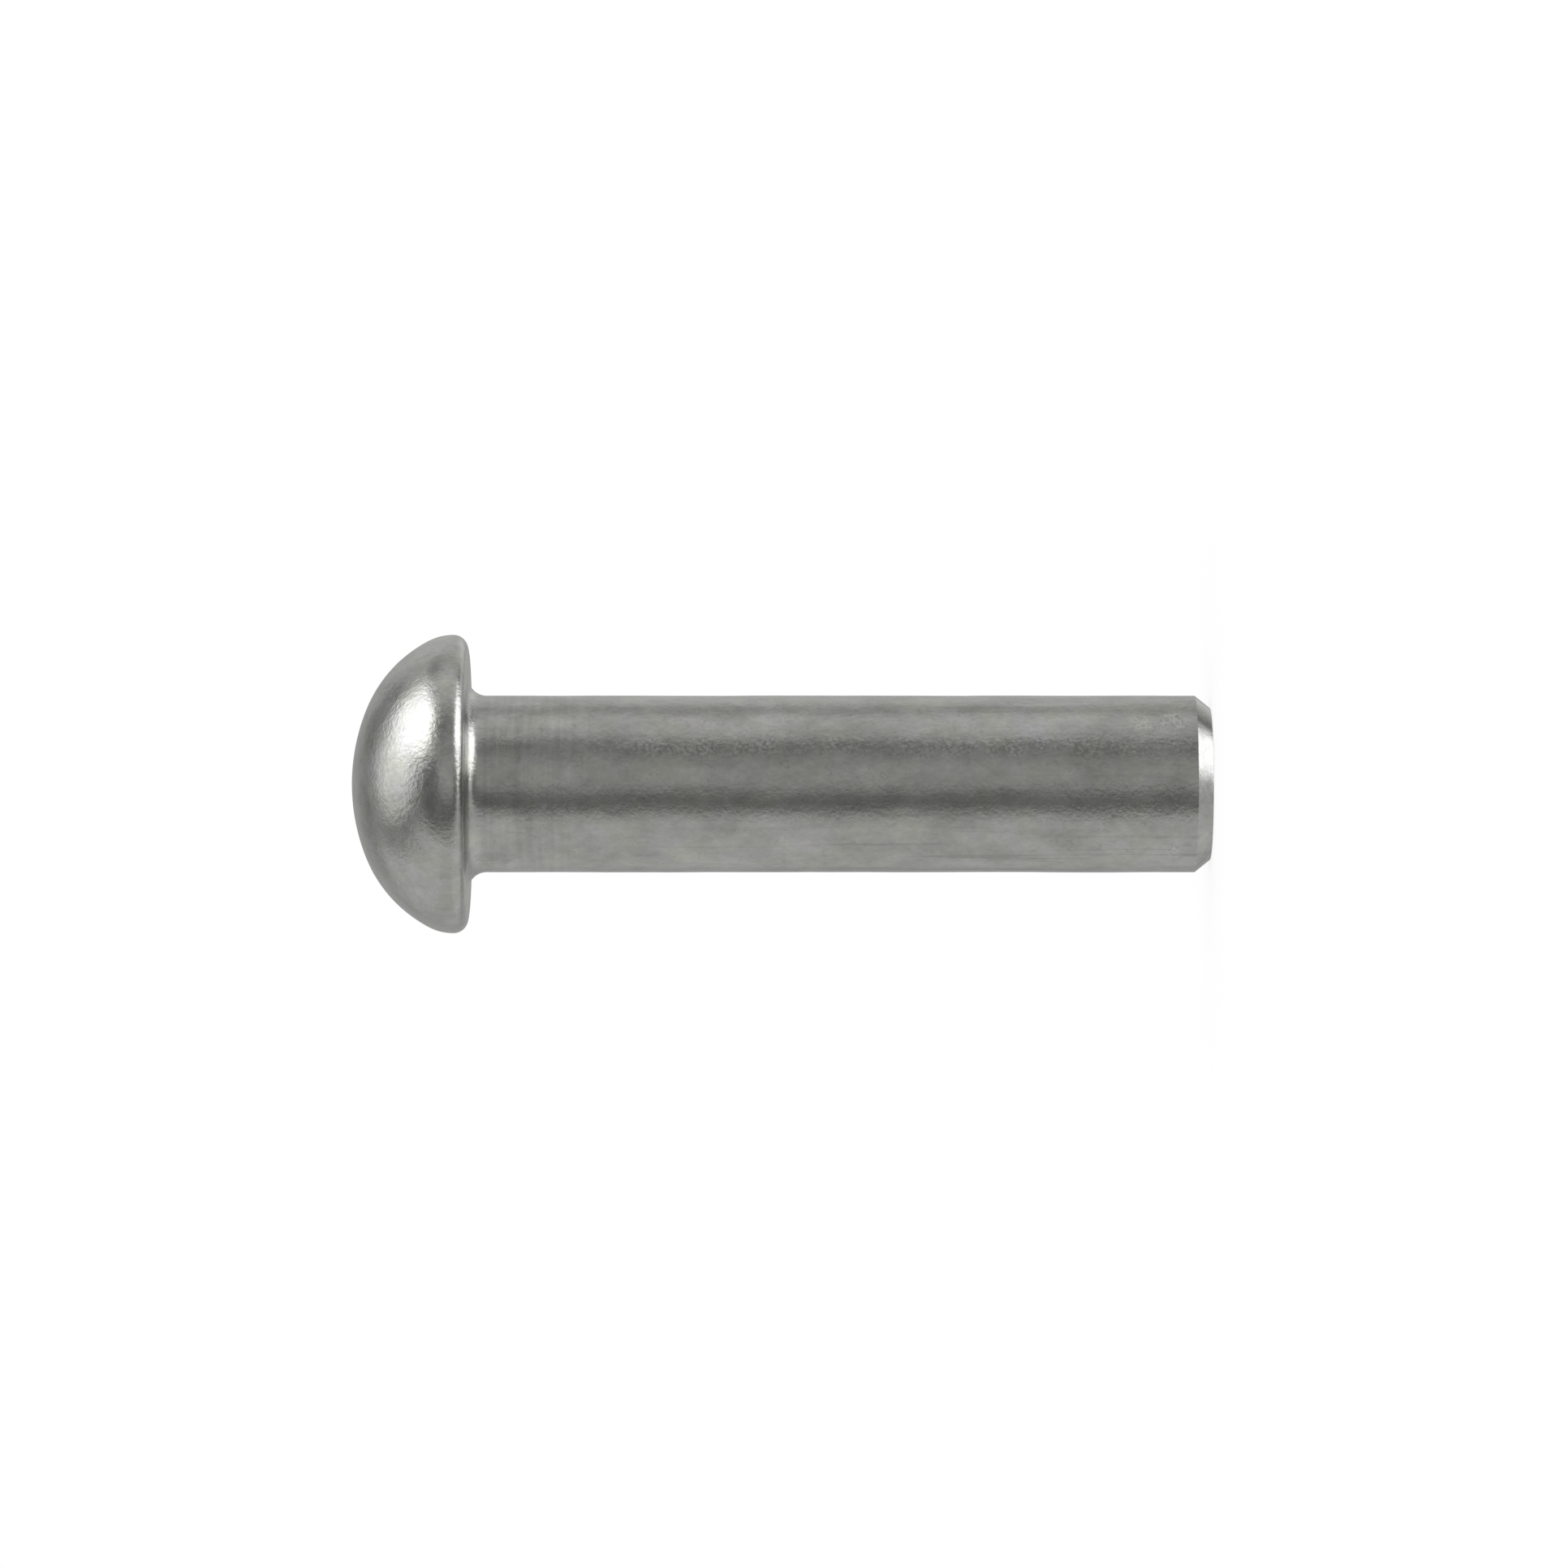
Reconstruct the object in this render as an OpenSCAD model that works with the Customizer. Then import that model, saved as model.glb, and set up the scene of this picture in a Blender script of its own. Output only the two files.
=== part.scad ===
// Round head rivet: a solid rivet, cold headed in one piece from round wire.
// It stands on its tail end, with the shank on the Z axis and the head at the top.
// The origin is the middle of the head's bearing face, where the rivet's length starts.

/* [Shank] */
// Diameter of the shank
shank_d = 5.95; // [4.5:0.05:7]
// Length of the rivet below its head
length = 25; // [8:0.5:60]

/* [Head] */
// Widest diameter of the head
head_d = 10.07; // [9:0.01:12]
// Height of the head above its bearing face
head_h = 3.92; // [3.2:0.01:4.4]
// How far the crown's top stands above the circle of the dome's shoulder
crown_rise = 0.155; // [0.05:0.005:0.4]
// Angle from the top at which the shoulder ends and the rim begins
rim_start = 62; // [50:1:70]
// Radius of the rim, from the shoulder down to the widest level
rim_r = 1.82; // [1:0.01:2.2]
// Radius that rounds the rim into the bearing face
edge_r = 0.49; // [0.2:0.01:0.7]

/* [Neck] */
// Fillet between the bearing face and the shank
neck_r = 0.64; // [0.2:0.01:0.8]

/* [Tail] */
// Length of the tail's chamfer
chamfer_l = 0.52; // [0.2:0.01:1.5]
// How far the chamfer comes in from the shank's side
chamfer_in = 0.42; // [0.1:0.01:1.2]

/* [Hidden] */
$fn = 128;

// Each arc's radius gains this much more than the last one's, so that the two
// cross and don't only touch
overlap = 0.0001;

shank_r = shank_d / 2;

// Centres of the head's arcs, as [distance from the axis, height]
edge_at = [head_d / 2 - edge_r, edge_r];
rim_at = [head_d / 2 - rim_r, edge_r];

// The shoulder runs on from the rim at rim_start, and its circle's top lies
// crown_rise below the top of the head
shoulder_top = head_h - crown_rise;
shoulder_r = (shoulder_top - rim_at.y - rim_r * cos(rim_start)) / (1 - cos(rim_start));
shoulder_at = rim_at - (shoulder_r - rim_r) * [sin(rim_start), cos(rim_start)];

// The crown is a sphere round the axis that touches the shoulder and the head's top
crown_r = shoulder_r + crown_rise / 2 + shoulder_at.x ^ 2 / (2 * crown_rise);
crown_at = [0, head_h - crown_r];
shoulder_start = atan2(shoulder_at.x, shoulder_at.y - crown_at.y);

// The head's arcs from the crown down, each as [lowest height, centre, radius]
head_arcs = [
    [crown_at.y + crown_r * cos(shoulder_start), crown_at, crown_r],
    [rim_at.y + rim_r * cos(rim_start), shoulder_at, shoulder_r],
    [rim_at.y, rim_at, rim_r],
    [0, edge_at, edge_r]
];

// The part of a disc that lies above a height, on the outer side of the axis
module disc_above(low, centre, r) {
    intersection() {
        translate(centre) circle(r);
        translate([0, low]) square([head_d, head_h]);
    }
}

// Half of the head's section: its arcs' discs, with a plain core inside them
module head_section() {
    for (i = [0:len(head_arcs) - 1])
        disc_above(head_arcs[i][0], head_arcs[i][1], head_arcs[i][2] + i * overlap);
    square([rim_at.x, head_h / 2]);
    square([edge_at.x, 2 * edge_r]);
}

// Half of the neck's section: a collar that the fillet hollows round the shank
module neck_section() {
    difference() {
        translate([0, -neck_r]) square([shank_r + neck_r, neck_r + edge_r]);
        translate([shank_r + neck_r, -neck_r]) circle(neck_r + overlap);
    }
}

// Half of the shank's section: straight from inside the head to the tail's chamfer
module shank_section() {
    polygon([
        [0, edge_r], [0, -length], [shank_r - chamfer_in, -length],
        [shank_r, chamfer_l - length], [shank_r, edge_r]
    ]);
}

// The rivet, turned from its section
module rivet() {
    color("#b9b7b1")
    rotate_extrude() {
        head_section();
        neck_section();
        shank_section();
    }
}

rivet();
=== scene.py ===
import bpy
import numpy as np
from mathutils import Matrix


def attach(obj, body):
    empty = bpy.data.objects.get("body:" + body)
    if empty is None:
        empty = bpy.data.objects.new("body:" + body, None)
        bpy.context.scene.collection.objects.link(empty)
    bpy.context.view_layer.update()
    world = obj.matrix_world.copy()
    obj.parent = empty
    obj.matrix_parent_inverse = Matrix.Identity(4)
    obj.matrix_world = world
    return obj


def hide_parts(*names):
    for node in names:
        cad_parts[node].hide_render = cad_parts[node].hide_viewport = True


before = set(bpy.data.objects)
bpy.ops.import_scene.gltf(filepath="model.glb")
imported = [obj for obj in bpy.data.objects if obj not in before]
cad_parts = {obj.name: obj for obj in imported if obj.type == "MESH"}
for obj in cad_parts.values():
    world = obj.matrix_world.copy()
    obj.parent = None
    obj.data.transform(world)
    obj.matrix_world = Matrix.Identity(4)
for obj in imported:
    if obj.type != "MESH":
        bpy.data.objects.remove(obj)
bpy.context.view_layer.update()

MM = 0.001

# ---------------------------------------------------------------- sizes of the rivet, in mm

SHANK_D = 5.95
LENGTH = 25.0
HEAD_D = 10.07
HEAD_H = 3.92
CROWN_RISE = 0.155
RIM_START = 62.0
RIM_R = 1.82
EDGE_R = 0.49
NECK_R = 0.64
CHAMFER_L = 0.52
CHAMFER_IN = 0.42
CUT_EDGE_R = 0.03

# Points of each ring round the rivet.
POINTS_AROUND = 352

# Spread of the long ripples in the drawn wire and in the upset head, and of the fine ones over both.
SHANK_RIPPLE = 0.0035
HEAD_RIPPLE = 0.0015
FINE_RIPPLE = 0.0006

# Turns are in degrees from the camera's side towards +X.
# Places on the shank that are rubbed bright, each as height, turn and reach.
RUBBED_PLACES = (
    (-22.6, 43, 0.5),
    (-23.7, 45, 0.7),
    (-18.4, 22, 0.4),
    (-23.7, -48, 0.5),
)
# Turn of the strip of the shank that the feed rail has pitted. The strip runs where the shank mirrors a dark
# flag, and its colour carries flecks of painted shade and painted glint.
RAIL_PITS_AND_PAINTED_FLECKS_TURN = 24.5

# ---------------------------------------------------------------- small tools


def srgb(code):
    """Linear red, green, blue and 1 from a hex colour: each channel over 255, then the sRGB curve undone."""
    channels = np.array([int(code[i:i + 2], 16) for i in (1, 3, 5)]) / 255.0
    linear = np.where(channels <= 0.04045, channels / 12.92, ((channels + 0.055) / 1.055) ** 2.4)
    return (*linear.tolist(), 1.0)


def grain(size):
    """Scale of a noise whose grains have that size in mm: how many of them go into a metre."""
    return 1.0 / (size * MM)


def add_node(tree, kind, inputs=None, links=None, **settings):
    """One shader node of that kind: its settings, its socket values, and links from other nodes' sockets."""
    node = tree.nodes.new(kind)
    for name, value in settings.items():
        setattr(node, name, value)
    for name, value in (inputs or {}).items():
        node.inputs[name].default_value = value
    for name, socket in (links or {}).items():
        tree.links.new(socket, node.inputs[name])
    return node


def new_material(name):
    """An empty node material with only its output node."""
    material = bpy.data.materials.new(name)
    material.use_nodes = True
    tree = material.node_tree
    tree.nodes.clear()
    return material, tree, tree.nodes.new("ShaderNodeOutputMaterial")


def ease(t):
    """0 below 0, 1 above 1, and 3t^2 - 2t^3 between."""
    t = np.clip(t, 0.0, 1.0)
    return t * t * (3.0 - 2.0 * t)


def ring_grid_faces(rings, around):
    """Quads between each ring and the next, and between each point of a ring and its neighbour round it."""
    ring, point = np.meshgrid(np.arange(rings - 1), np.arange(around), indexing="ij")
    neighbour = (point + 1) % around
    quads = np.stack([ring * around + point, (ring + 1) * around + point,
                      (ring + 1) * around + neighbour, ring * around + neighbour], axis=-1)
    return quads.reshape(-1, 4).tolist()


def mesh_object(name, points, faces, material):
    """A smooth mesh object at the origin with these points, faces and material."""
    mesh = bpy.data.meshes.new(name)
    mesh.from_pydata(points.tolist(), [], faces)
    mesh.polygons.foreach_set("use_smooth", np.ones(len(mesh.polygons), dtype=bool))
    mesh.materials.append(material)
    mesh.update()
    piece = bpy.data.objects.new(name, mesh)
    bpy.context.scene.collection.objects.link(piece)
    return piece


# ---------------------------------------------------------------- camera

CAMERA_DISTANCE = 0.2681
CAMERA_HEIGHT = -0.010646
# Pixels across the frame, and how many of them a millimetre takes at the rivet.
FRAME_PIXELS = 1932
PIXELS_PER_MM = 36.555
FRAME_WIDTH = FRAME_PIXELS / PIXELS_PER_MM * MM
SENSOR = 36.0

camera_data = bpy.data.cameras.new("camera")
camera_data.sensor_width = SENSOR
camera_data.lens = SENSOR * CAMERA_DISTANCE / FRAME_WIDTH
camera_data.clip_start = 0.01
camera_data.clip_end = 10.0
camera = bpy.data.objects.new("camera", camera_data)
# The camera looks along +Y. It is rolled a quarter turn, so that the standing rivet lies across the frame
# with its head to the left.
camera.matrix_world = Matrix(((0, 1, 0, 0),
                              (0, 0, -1, -CAMERA_DISTANCE),
                              (-1, 0, 0, CAMERA_HEIGHT),
                              (0, 0, 0, 1)))
bpy.context.scene.collection.objects.link(camera)
bpy.context.scene.camera = camera


# ---------------------------------------------------------------- rivet surface


def facing(angle):
    """Unit vector (sin t, cos t) of radius and height, at that angle t in degrees from +Z."""
    t = np.radians(angle)
    return np.stack([np.sin(t), np.cos(t)], axis=-1)


def cut_edge(corner, before, after):
    """Centre of the small arc that rounds a corner between two straight lines, whose normals face before and
    after: the corner, less the arc's radius times the normals' sum over 1 plus their product."""
    first, second = facing(before), facing(after)
    return np.array(corner) - CUT_EDGE_R * (first + second) / (1 + first @ second)


def rivet_outline():
    """The rivet's outline from the crown to the middle of the tail, in mm: radius, height and outward normal.

    It is a chain of arcs joined by straight lines. A point of an arc is its centre plus its radius times
    (sin t, cos t), where t is the angle of the normal from +Z. A hollow arc has a negative radius. Each line
    runs from the end of one arc to the start of the next.
    """
    edge = np.array([HEAD_D / 2 - EDGE_R, EDGE_R])
    rim = np.array([HEAD_D / 2 - RIM_R, EDGE_R])
    shoulder_top = HEAD_H - CROWN_RISE
    rim_cosine = np.cos(np.radians(RIM_START))
    shoulder_r = (shoulder_top - rim[1] - RIM_R * rim_cosine) / (1 - rim_cosine)
    shoulder = rim - (shoulder_r - RIM_R) * facing(RIM_START)
    crown_r = shoulder_r + CROWN_RISE / 2 + shoulder[0] ** 2 / (2 * CROWN_RISE)
    crown = np.array([0.0, HEAD_H - crown_r])
    crown_end = np.degrees(np.arctan2(shoulder[0], shoulder[1] - crown[1]))
    neck = np.array([SHANK_D / 2 + NECK_R, -NECK_R])
    slope = 90 + np.degrees(np.arctan2(CHAMFER_IN, CHAMFER_L))
    chamfer_top = cut_edge((SHANK_D / 2, CHAMFER_L - LENGTH), 90, slope)
    chamfer_foot = cut_edge((SHANK_D / 2 - CHAMFER_IN, -LENGTH), slope, 180)

    # centre, radius, first and last angle of the normal, steps along the arc, steps along the line after it
    arcs = (
        (crown, crown_r, 0.0, crown_end, 24, 0),
        (shoulder, shoulder_r, crown_end, RIM_START, 38, 0),
        (rim, RIM_R, RIM_START, 90, 13, 0),
        (edge, EDGE_R, 90, 180, 11, 8),
        (neck, -NECK_R, 180, 90, 12, 147),
        (chamfer_top, CUT_EDGE_R, 90, slope, 3, 7),
        (chamfer_foot, CUT_EDGE_R, slope, 180, 3, 8),
    )
    starts = [centre + radius * facing(first) for centre, radius, first, *_ in arcs]
    starts.append(np.array([0.0, -LENGTH]))

    parts = []
    shares_point = False
    for (centre, radius, first, last, steps, line_steps), line_end in zip(arcs, starts[1:]):
        normal = facing(np.linspace(first, last, steps + 1))
        points = centre + radius * normal
        parts.append(np.hstack([points, normal])[1 if shares_point else 0:])
        shares_point = line_steps == 0
        if line_steps:
            along = np.linspace(0, 1, line_steps + 1)[1:-1, None]
            line = points[-1] + along * (line_end - points[-1])
            parts.append(np.hstack([line, np.repeat(normal[-1:], len(line), axis=0)]))
    return np.vstack(parts)


def waves(points, count, shortest, longest, seed):
    """An even random relief with a spread of 1: the sum of count cosine waves over the square root of half
    their number. Their directions are random, and their lengths lie between shortest and longest."""
    rng = np.random.default_rng(seed)
    direction = rng.normal(size=(count, 3))
    direction /= np.linalg.norm(direction, axis=1, keepdims=True)
    crests = direction * (2 * np.pi / rng.uniform(shortest, longest, count))[:, None]
    phases = rng.uniform(0, 2 * np.pi, count)
    total = np.zeros(len(points))
    for crest, phase in zip(crests, phases):
        total += np.cos(points @ crest + phase)
    return total / np.sqrt(count / 2)


def dents(points, places):
    """Small round dents, each given as x, y, z, width and depth: the sum of minus the depth times
    exp(-(distance / half width)^2)."""
    total = np.zeros(len(points))
    for *middle, width, depth in places:
        squared = ((points - np.array(middle)) ** 2).sum(axis=1)
        total -= depth * np.exp(-squared / (width / 2) ** 2)
    return total


def on_surface(outline, z, turn):
    """The point of the surface at that height and turn: (r sin turn, -r cos turn, z), where r is the radius
    of the outline's point nearest to that height."""
    side = outline[1:-1]
    r = side[np.argmin(np.abs(side[:, 1] - z)), 0]
    return r * np.sin(np.radians(turn)), -r * np.cos(np.radians(turn)), z


def tumbling_marks(outline):
    """Dents where rivets have knocked against each other in the tumbling barrel, at random places: 46 on the
    shank and 16 on the head, each a hundredth as deep as it is wide."""
    rng = np.random.default_rng(41)
    heights = np.concatenate([rng.uniform(-24.0, -1.5, 46), rng.uniform(0.6, 3.6, 16)])
    turns = rng.uniform(-180, 180, len(heights))
    widths = rng.uniform(0.22, 0.5, len(heights))
    return [(*on_surface(outline, z, turn), width, 0.010 * width)
            for z, turn, width in zip(heights, turns, widths)]


def rivet_relief(outline, points, z):
    """How far the surface lies off the true one, in mm: long and fine waves, and the dents. On the head it is
    lowered until none of it is above the true surface, so that the rivet keeps its size."""
    on_head = ease((z + 1.2) / 1.2)
    ripple = SHANK_RIPPLE + (HEAD_RIPPLE - SHANK_RIPPLE) * on_head
    relief = ripple * waves(points, count=48, shortest=1.6, longest=4.5, seed=11)
    relief += FINE_RIPPLE * waves(points, count=64, shortest=0.32, longest=0.6, seed=12)
    relief += dents(points, tumbling_marks(outline))
    relief -= on_head * (relief[z > 0].max() + 0.0005)
    # The cut tail stays flat, and the relief fades in over the chamfer above it.
    return relief * ease((z + LENGTH - 0.05) / 0.6)


def build_rivet(material):
    """The rivet as a surface of revolution: point (ring, turn) is (r sin turn, -r cos turn, z) of the
    outline's point, moved along its normal by the relief. A fan of triangles closes it at each end."""
    outline = rivet_outline()
    rings = outline[1:]
    r, z, normal_r, normal_z = (np.repeat(column, POINTS_AROUND) for column in rings.T)
    turn = np.tile(np.linspace(0, 2 * np.pi, POINTS_AROUND, endpoint=False), len(rings))
    points = np.stack([r * np.sin(turn), -r * np.cos(turn), z], axis=1)
    normals = np.stack([normal_r * np.sin(turn), -normal_r * np.cos(turn), normal_z], axis=1)
    relief = rivet_relief(outline, points, z)
    points += normals * relief[:, None]

    crown = np.array([[0.0, 0.0, HEAD_H + relief[:POINTS_AROUND].mean()]])
    foot = np.array([[0.0, 0.0, -LENGTH]])
    faces = ring_grid_faces(len(rings), POINTS_AROUND)
    point = np.arange(POINTS_AROUND)
    neighbour = (point + 1) % POINTS_AROUND
    last = (len(rings) - 1) * POINTS_AROUND
    crown_index, foot_index = np.full_like(point, len(points)), np.full_like(point, len(points) + 1)
    faces += np.stack([crown_index, point, neighbour], axis=1).tolist()
    faces += np.stack([foot_index, last + neighbour, last + point], axis=1).tolist()
    return mesh_object("rivet_steel", np.vstack([points, crown, foot]) * MM, faces, material)


# ---------------------------------------------------------------- steel

# Patterns read Object coordinates, which are in metres. Heights are counted from the head's bearing face, so
# they are below 0 all along the shank. Tone is how light the steel is, from 0 to 1.

STRAW_STEEL = "#B7B8AE"
VIOLET_STEEL = "#B7B6B7"
DULL_STEEL = "#969692"


def on_shank(z, turn):
    """The point of the true shank at that height and turn, in metres: (r sin turn, -r cos turn, z)."""
    r = SHANK_D / 2
    turn = np.radians(turn)
    return r * np.sin(turn) * MM, -r * np.cos(turn) * MM, z * MM


def pit_and_painted_fleck_strip(tree, place, height):
    """1 where knocks against the feed rail have pitted the shank, in a strip about 0.5 mm wide, and 0
    elsewhere. The pits come in groups of about 1 mm, and there are none near the head. The strip runs where
    the shank mirrors a dark flag. Besides deeper bumps, it carries flecks of painted shade and painted glint
    in the colour."""
    flat = add_node(tree, "ShaderNodeMapping", {"Scale": (1.0, 1.0, 0.0)},
                    {"Vector": place}).outputs["Vector"]
    off = add_node(tree, "ShaderNodeVectorMath", {1: on_shank(0.0, RAIL_PITS_AND_PAINTED_FLECKS_TURN)}, {0: flat},
                   operation="DISTANCE").outputs["Value"]
    near = add_node(tree, "ShaderNodeMapRange", {"From Min": 0.45 * MM, "From Max": 0.1 * MM},
                    {"Value": off}).outputs["Result"]
    below = add_node(tree, "ShaderNodeMapRange", {"From Min": -3.0 * MM, "From Max": -6.0 * MM},
                     {"Value": height}).outputs["Result"]
    group = add_node(tree, "ShaderNodeTexNoise", {"Scale": grain(0.8333), "Detail": 1.0},
                     {"Vector": place}).outputs["Fac"]
    group = add_node(tree, "ShaderNodeMapRange", {"From Min": 0.4, "From Max": 0.55, "To Min": 0.35},
                     {"Value": group}).outputs["Result"]
    strip = add_node(tree, "ShaderNodeMath", None, {0: near, 1: below}, operation="MULTIPLY").outputs[0]
    return add_node(tree, "ShaderNodeMath", None, {0: strip, 1: group}, operation="MULTIPLY").outputs[0]


def soft_clouds(tree, drawn):
    """Tone of the bare steel: clouds of 1.5 mm, broken up down to 0.1 mm."""
    cloud = add_node(tree, "ShaderNodeTexNoise", {"Scale": grain(1.538), "Detail": 4.0, "Roughness": 0.8},
                     {"Vector": drawn}).outputs["Fac"]
    return add_node(tree, "ShaderNodeMapRange", {"From Min": 0.28, "From Max": 0.72},
                    {"Value": cloud}).outputs["Result"]


def lay_scuffs(tree, place, drawn, tone):
    """Darkens the tone along hair lines that wander for a few tenths of a mm, where rivets rubbed on each
    other. A hair runs where a noise is near its middle value."""
    wander = add_node(tree, "ShaderNodeTexNoise", {"Scale": grain(0.4545), "Detail": 2.0},
                      {"Vector": place}).outputs["Fac"]
    apart = add_node(tree, "ShaderNodeMath", {1: 0.5}, {0: wander}, operation="SUBTRACT").outputs[0]
    apart = add_node(tree, "ShaderNodeMath", None, {0: apart}, operation="ABSOLUTE").outputs[0]
    hair = add_node(tree, "ShaderNodeMapRange",
                    {"From Min": 0.004, "From Max": 0.022, "To Min": -0.3, "To Max": 0.0},
                    {"Value": apart}).outputs["Result"]
    rubbed = add_node(tree, "ShaderNodeTexNoise", {"Scale": grain(0.5882), "Detail": 1.0},
                      {"Vector": drawn}).outputs["Fac"]
    rubbed = add_node(tree, "ShaderNodeMapRange", {"From Min": 0.45, "From Max": 0.6},
                      {"Value": rubbed}).outputs["Result"]
    return add_node(tree, "ShaderNodeMath", None, {0: hair, 1: rubbed, 2: tone},
                    operation="MULTIPLY_ADD").outputs[0]


def lay_drawing_lines(tree, place, height, tone):
    """Darkens the tone along the lines of the drawing die, which are 0.2 mm apart, about 7 mm long and a
    fraction of a degree askew. They come in towards the tail, and a nick in the die has made them deeper on
    the -X side."""
    askew = add_node(tree, "ShaderNodeMapping", {"Scale": (1.0, 1.0, 0.03), "Rotation": (0.07, 0.05, 0.0)},
                     {"Vector": place}).outputs["Vector"]
    line = add_node(tree, "ShaderNodeTexNoise", {"Scale": grain(0.2), "Detail": 1.0},
                    {"Vector": askew}).outputs["Fac"]
    line = add_node(tree, "ShaderNodeMapRange",
                    {"From Min": 0.57, "From Max": 0.67, "To Min": 0.0, "To Max": -0.12},
                    {"Value": line}).outputs["Result"]
    dragged = add_node(tree, "ShaderNodeMapRange", {"From Min": -4.0 * MM, "From Max": -14.0 * MM},
                       {"Value": height}).outputs["Result"]
    across = add_node(tree, "ShaderNodeSeparateXYZ", None, {"Vector": place}).outputs["X"]
    nicked = add_node(tree, "ShaderNodeMapRange",
                      {"From Min": -1.4 * MM, "From Max": -2.2 * MM, "To Min": 1.0, "To Max": 3.5},
                      {"Value": across}).outputs["Result"]
    dragged = add_node(tree, "ShaderNodeMath", None, {0: dragged, 1: nicked}, operation="MULTIPLY").outputs[0]
    return add_node(tree, "ShaderNodeMath", None, {0: line, 1: dragged, 2: tone},
                    operation="MULTIPLY_ADD").outputs[0]


def lay_painted_pit_shade_and_glints(tree, place, pits_and_painted_flecks, tone):
    """Paints flecks of 0.12 mm into the pitted strip's tone: painted shade that darkens a pit, and a painted
    glint that lightens its edge.
    """
    painted_fleck = add_node(tree, "ShaderNodeTexNoise", {"Scale": grain(0.11765), "Detail": 1.0},
                     {"Vector": place}).outputs["Fac"]
    painted_fleck = add_node(tree, "ShaderNodeMapRange",
                     {"From Min": 0.35, "From Max": 0.65, "To Min": -0.5, "To Max": 0.4},
                     {"Value": painted_fleck}).outputs["Result"]
    return add_node(tree, "ShaderNodeMath", None, {0: painted_fleck, 1: pits_and_painted_flecks, 2: tone},
                    operation="MULTIPLY_ADD").outputs[0]


def lay_rubbed_places(tree, place, tone):
    """Lightens the tone in thin curved strokes about a quarter of a mm apart, where the ends of other rivets
    have rubbed the shank bright."""
    stroke = add_node(tree, "ShaderNodeTexNoise", {"Scale": grain(0.25), "Detail": 1.0},
                      {"Vector": place}).outputs["Fac"]
    stroke = add_node(tree, "ShaderNodeMath", {1: 0.5}, {0: stroke}, operation="SUBTRACT").outputs[0]
    stroke = add_node(tree, "ShaderNodeMath", None, {0: stroke}, operation="ABSOLUTE").outputs[0]
    stroke = add_node(tree, "ShaderNodeMapRange",
                      {"From Min": 0.01, "From Max": 0.08, "To Min": 0.65, "To Max": 0.0},
                      {"Value": stroke}).outputs["Result"]
    for z, turn, reach in RUBBED_PLACES:
        gap = add_node(tree, "ShaderNodeVectorMath", {1: on_shank(z, turn)}, {0: place},
                       operation="DISTANCE").outputs["Value"]
        near = add_node(tree, "ShaderNodeMapRange", {"From Min": reach * MM, "From Max": 0.3 * reach * MM},
                        {"Value": gap}).outputs["Result"]
        tone = add_node(tree, "ShaderNodeMath", None, {0: stroke, 1: near, 2: tone},
                        operation="MULTIPLY_ADD").outputs[0]
    return tone


def lay_grip_rings(tree, place, height, tone):
    """Rings the few mm of shank under the head, light and dark by turns 0.18 mm apart, where the heading die
    has gripped the wire. It is the last mark, so it holds the tone between 0 and 1."""
    stacked = add_node(tree, "ShaderNodeMapping", {"Scale": (0.05, 0.05, 1.0)},
                       {"Vector": place}).outputs["Vector"]
    ring = add_node(tree, "ShaderNodeTexNoise", {"Scale": grain(0.1818), "Detail": 1.0},
                    {"Vector": stacked}).outputs["Fac"]
    ring = add_node(tree, "ShaderNodeMapRange",
                    {"From Min": 0.3, "From Max": 0.7, "To Min": -0.14, "To Max": 0.14},
                    {"Value": ring}).outputs["Result"]
    gripped = add_node(tree, "ShaderNodeMapRange", {"From Min": -5.2 * MM, "From Max": -3.0 * MM},
                       {"Value": height}).outputs["Result"]
    shank = add_node(tree, "ShaderNodeMath", {1: -0.6 * MM}, {0: height}, operation="LESS_THAN").outputs[0]
    gripped = add_node(tree, "ShaderNodeMath", None, {0: gripped, 1: shank}, operation="MULTIPLY").outputs[0]
    return add_node(tree, "ShaderNodeMath", None, {0: ring, 1: gripped, 2: tone},
                    operation="MULTIPLY_ADD", use_clamp=True).outputs[0]


def steel_tone(tree, place, height, pits_and_painted_flecks):
    """Tone of the steel: soft clouds, a little longer along the wire, with the marks laid over them. Among
    the marks are painted shade and painted glints in the pitted strip.
    """
    drawn = add_node(tree, "ShaderNodeMapping", {"Scale": (1.0, 1.0, 0.7)},
                     {"Vector": place}).outputs["Vector"]
    tone = soft_clouds(tree, drawn)
    tone = lay_scuffs(tree, place, drawn, tone)
    tone = lay_drawing_lines(tree, place, height, tone)
    # Flecks of painted shade and painted glint along the pitted strip.
    tone = lay_painted_pit_shade_and_glints(tree, place, pits_and_painted_flecks, tone)
    tone = lay_rubbed_places(tree, place, tone)
    return lay_grip_rings(tree, place, height, tone)


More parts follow.
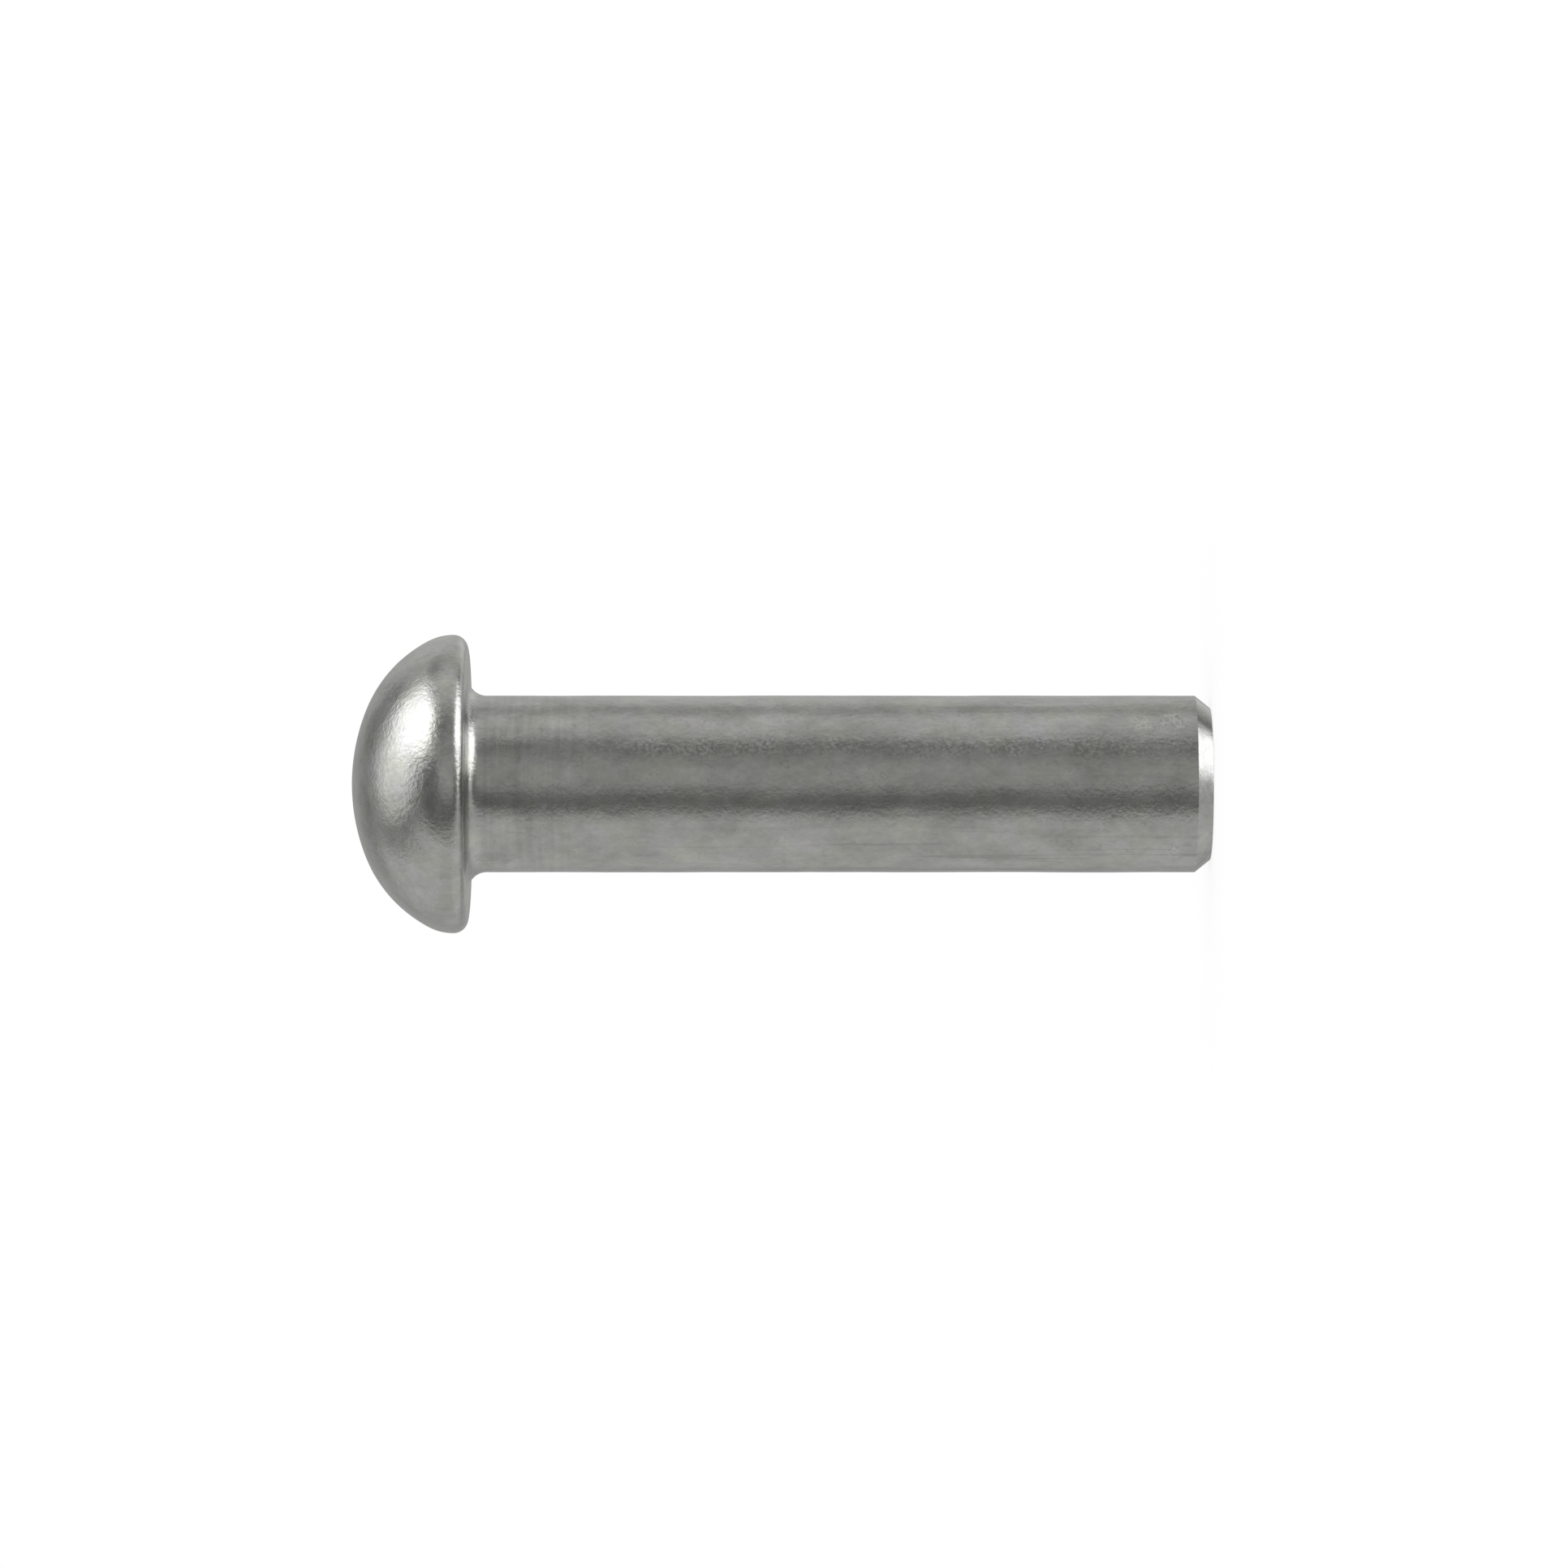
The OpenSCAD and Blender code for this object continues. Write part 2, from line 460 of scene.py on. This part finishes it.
def orange_peel(tree, place, height, pits_and_painted_flecks):
    """Normal of the orange peel: dimples 0.14 mm wide and about 0.005 mm deep on the head. They are a tenth
    shallower on the shank, deeper in the pitted strip and at the tail, where the barrel has battered the end,
    and under half as deep on the cut chamfer."""
    peel = add_node(tree, "ShaderNodeTexNoise", {"Scale": grain(0.14286), "Detail": 2.0, "Roughness": 0.6},
                    {"Vector": place}).outputs["Fac"]
    depth = add_node(tree, "ShaderNodeMapRange",
                     {"From Min": -0.3 * MM, "From Max": 0.2 * MM, "To Min": 0.9, "To Max": 1.0},
                     {"Value": height}).outputs["Result"]
    battered = add_node(tree, "ShaderNodeMapRange",
                        {"From Min": -18.0 * MM, "From Max": -23.0 * MM, "To Min": 0.0, "To Max": 0.4},
                        {"Value": height}).outputs["Result"]
    depth = add_node(tree, "ShaderNodeMath", None, {0: depth, 1: battered}, operation="ADD").outputs[0]
    depth = add_node(tree, "ShaderNodeMath", {1: 0.5}, {0: pits_and_painted_flecks, 2: depth},
                     operation="MULTIPLY_ADD").outputs[0]
    uncut = add_node(tree, "ShaderNodeMapRange",
                     {"From Min": -24.52 * MM, "From Max": -24.45 * MM, "To Min": 0.3, "To Max": 1.0},
                     {"Value": height}).outputs["Result"]
    depth = add_node(tree, "ShaderNodeMath", None, {0: depth, 1: uncut}, operation="MULTIPLY").outputs[0]
    peel = add_node(tree, "ShaderNodeMath", None, {0: peel, 1: depth}, operation="MULTIPLY").outputs[0]
    return add_node(tree, "ShaderNodeBump", {"Strength": 1.0, "Distance": 0.0125 * MM},
                    {"Height": peel}).outputs["Normal"]


def tumbled_stainless_steel():
    """Cold-headed stainless wire, tumbled clean: a grey satin metal with soft reflections. Upsetting and
    tumbling leave a fine orange peel that breaks up the edge of each reflection into grains."""
    material, tree, output = new_material("tumbled_stainless_steel")
    place = add_node(tree, "ShaderNodeTexCoord").outputs["Object"]
    height = add_node(tree, "ShaderNodeSeparateXYZ", None, {"Vector": place}).outputs["Z"]
    # The pitted strip gets deeper bumps, and flecks of painted shade and painted glint in the colour.
    pits_and_painted_flecks = pit_and_painted_fleck_strip(tree, place, height)

    # The thin oxide is a shade more straw in one place and a shade more violet in the next, about 1 mm away.
    oxide = add_node(tree, "ShaderNodeTexNoise", {"Scale": grain(1.0), "Detail": 3.0},
                     {"Vector": place}).outputs["Fac"]
    oxide = add_node(tree, "ShaderNodeMapRange", {"From Min": 0.35, "From Max": 0.65},
                     {"Value": oxide}).outputs["Result"]
    bright = add_node(tree, "ShaderNodeMix", {6: srgb(STRAW_STEEL), 7: srgb(VIOLET_STEEL)}, {0: oxide},
                      data_type="RGBA").outputs[2]
    colour = add_node(tree, "ShaderNodeMix", {6: srgb(DULL_STEEL)},
                      {0: steel_tone(tree, place, height, pits_and_painted_flecks), 7: bright}, data_type="RGBA").outputs[2]
    # The gloss differs a little from place to place, in patches of under 1 mm.
    shine = add_node(tree, "ShaderNodeTexNoise", {"Scale": grain(0.6667), "Detail": 2.0, "Roughness": 0.6},
                     {"Vector": place}).outputs["Fac"]
    roughness = add_node(tree, "ShaderNodeMapRange",
                         {"From Min": 0.3, "From Max": 0.7, "To Min": 0.22, "To Max": 0.28},
                         {"Value": shine}).outputs["Result"]
    shader = add_node(tree, "ShaderNodeBsdfPrincipled", {"Metallic": 1.0},
                      {"Base Color": colour, "Roughness": roughness,
                       "Normal": orange_peel(tree, place, height, pits_and_painted_flecks)})
    tree.links.new(shader.outputs["BSDF"], output.inputs["Surface"])
    return material


# ---------------------------------------------------------------- studio materials


def matt_white_floor():
    """Matt white acrylic on a light table: it glows evenly and keeps the rivet's soft shadow. To the camera,
    0.7 of the glow and 0.3 of the lit acrylic come to white."""
    material, tree, output = new_material("matt_white_floor")
    camera_ray = add_node(tree, "ShaderNodeLightPath").outputs["Is Camera Ray"]
    acrylic = add_node(tree, "ShaderNodeBsdfDiffuse", {"Color": srgb("#F2F2F2")})
    strength = add_node(tree, "ShaderNodeMapRange", {"To Min": 0.0, "To Max": 1.16},
                        {"Value": camera_ray}).outputs["Result"]
    glow = add_node(tree, "ShaderNodeEmission", {"Color": srgb("#FFFFFF")}, {"Strength": strength})
    lit = add_node(tree, "ShaderNodeMixShader", {"Fac": 0.7},
                   {1: acrylic.outputs["BSDF"], 2: glow.outputs["Emission"]})
    tree.links.new(lit.outputs["Shader"], output.inputs["Surface"])
    return material


def studio_card():
    """Paper and cloth of the light tent: it only shines, as brightly as the tent's level says at that place.
    The tubes of the softboxes are a shade cooler than the cloth."""
    material, tree, output = new_material("studio_card")
    level = add_node(tree, "ShaderNodeAttribute", attribute_name="level").outputs["Fac"]
    tube = add_node(tree, "ShaderNodeMapRange", {"From Min": 1.0, "From Max": 3.0},
                    {"Value": level}).outputs["Result"]
    colour = add_node(tree, "ShaderNodeMix", {6: srgb("#FFFFFF"), 7: srgb("#FBFBFF")}, {0: tube},
                      data_type="RGBA").outputs[2]
    shine = add_node(tree, "ShaderNodeEmission", None, {"Color": colour, "Strength": level})
    tree.links.new(shine.outputs["Emission"], output.inputs["Surface"])
    # The tent is only mirrored, so it isn't sampled as a lamp.
    material.cycles.emission_sampling = "NONE"
    return material


# ---------------------------------------------------------------- light tent

# Radius of the tent in metres, and how bright its plain wall is.
TENT_RADIUS = 0.8
TENT_WALL = 0.73
# Strips and patches, each hung in front of the ones before it: first and last turn, lowest and highest
# elevation, softness of the edge, all in degrees, and how bright it is.
TENT_PATCHES = (
    ("left wall", -166, -45, 15, 62, 10, 0.83),
    ("low wall", -150, -62, -62, -16, 8, 0.85),
    ("wall seam", -180, 20, 58, 76, 8, 0.28),
    ("back cloth", 160, 220, -90, 90, 12, 0.50),
    ("right wall", 80, 135, -40, 15, 10, 0.82),
    ("side fold", 103, 123, -60, 30, 5, 0.52),
    ("front cloth", -15, 30, -78, 25, 5, 0.54),
    ("front sill", -25, 35, -72, -46, 5, 0.24),
    ("front opening", -35, 24, 22, 64, 8, 0.18),
    ("upper back", 120, 168, 36, 56, 9, 0.22),
    ("far back", 168, 206, 39, 56, 10, 0.28),
    ("left flag", -38, -10, -70, 60, 13, 0.19),
    ("right flag", 28, 62, -42, 18, 10, 0.40),
    ("flag edge", 42, 56, -42, 16, 5, 0.33),
    ("corner flag", 34, 51, 11, 28, 5, 0.05),
)
# Round softboxes and flags: turn and elevation of the middle, half angle, softness, all in degrees, and how
# bright it is.
TENT_DISCS = (
    ("top light", 70, 82, 20, 12, 1.55),
    ("head softbox", 84, 54, 18, 9, 2.9),
    ("side softbox", 63, 46, 17, 9, 3.5),
    ("low fold", 106, 25, 7, 6, 0.20),
    ("table light", 105, -66, 20, 10, 3.2),
    ("front table light", 64, -60, 14, 7, 3.2),
    ("tail flag", 126, -44, 9, 7, 0.06),
    ("tail cloth", 156, -20, 9, 6, 1.0),
)


def tent_direction(turn, elevation):
    """Unit vector (cos e sin t, -cos e cos t, sin e) at turn t and elevation e, in degrees."""
    t, e = np.radians(turn), np.radians(elevation)
    return np.stack([np.cos(e) * np.sin(t), -np.cos(e) * np.cos(t), np.sin(e)], axis=-1)


def inside(past_edge, soft):
    """1 inside a soft edge and 0 outside it, by an ease as wide as twice its softness, where past_edge is how
    far outside a place lies."""
    return 1 - ease(past_edge / (2 * soft) + 0.5)


def tent_level(turn, elevation):
    """Brightness of the tent: the wall's, with each patch laid over it by the product of two soft windows,
    and each disc by a soft circle round its middle."""
    level = np.full(turn.shape, TENT_WALL)
    for _, first, last, low, high, soft, bright in TENT_PATCHES:
        across = np.abs((turn - (first + last) / 2 + 180) % 360 - 180) - (last - first) / 2
        along = np.abs(elevation - (low + high) / 2) - (high - low) / 2
        level += inside(across, soft) * inside(along, soft) * (bright - level)
    for _, middle_turn, middle_elevation, half, soft, bright in TENT_DISCS:
        cosine = tent_direction(turn, elevation) @ tent_direction(middle_turn, middle_elevation)
        away = np.degrees(np.arccos(np.clip(cosine, -1, 1))) - half
        level += inside(away, soft) * (bright - level)
    return level


def build_tent(material):
    """A ball of cloth round the rivet, seen only in reflections, whose brightness is kept at its points."""
    elevation, turn = np.meshgrid(np.linspace(-89.9, 89.9, 120), np.arange(0, 360, 1.5), indexing="ij")
    points = TENT_RADIUS * tent_direction(turn, elevation).reshape(-1, 3)
    tent = mesh_object("light_tent", points, ring_grid_faces(*turn.shape), material)
    brightness = tent.data.attributes.new("level", "FLOAT", "POINT")
    brightness.data.foreach_set("value", tent_level(turn, elevation).ravel())
    tent.visible_camera = False
    tent.visible_diffuse = False
    tent.visible_shadow = False
    tent.visible_transmission = False
    return tent


def build_floor(material):
    """A flat square of 4 m under the tail. The steel doesn't mirror it, because the tent goes on below it."""
    half = 2.0
    corners = [[x, y, -LENGTH * MM] for x, y in ((-half, -half), (half, -half), (half, half), (-half, half))]
    floor = mesh_object("floor", np.array(corners), [[0, 1, 2, 3]], material)
    floor.visible_glossy = False
    return floor


def build_world():
    """White to the camera and in reflections, and a plain light for everything else."""
    world = bpy.data.worlds.new("studio")
    bpy.context.scene.world = world
    world.use_nodes = True
    tree = world.node_tree
    tree.nodes.clear()
    path = add_node(tree, "ShaderNodeLightPath").outputs
    seen = add_node(tree, "ShaderNodeMath", None, {0: path["Is Camera Ray"], 1: path["Is Glossy Ray"]},
                    operation="MAXIMUM").outputs[0]
    seen = add_node(tree, "ShaderNodeMath", None, {0: seen, 1: path["Is Transmission Ray"]},
                    operation="MAXIMUM").outputs[0]
    strength = add_node(tree, "ShaderNodeMapRange", {"To Min": 0.75, "To Max": 1.0},
                        {"Value": seen}).outputs["Result"]
    shine = add_node(tree, "ShaderNodeBackground", {"Color": srgb("#FFFFFF")}, {"Strength": strength})
    output = tree.nodes.new("ShaderNodeOutputWorld")
    tree.links.new(shine.outputs["Background"], output.inputs["Surface"])


# ---------------------------------------------------------------- the scene

rivet = build_rivet(tumbled_stainless_steel())
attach(rivet, "root")
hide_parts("rivet")

build_tent(studio_card())
build_floor(matt_white_floor())
build_world()
bpy.context.scene.view_settings.view_transform = "Standard"
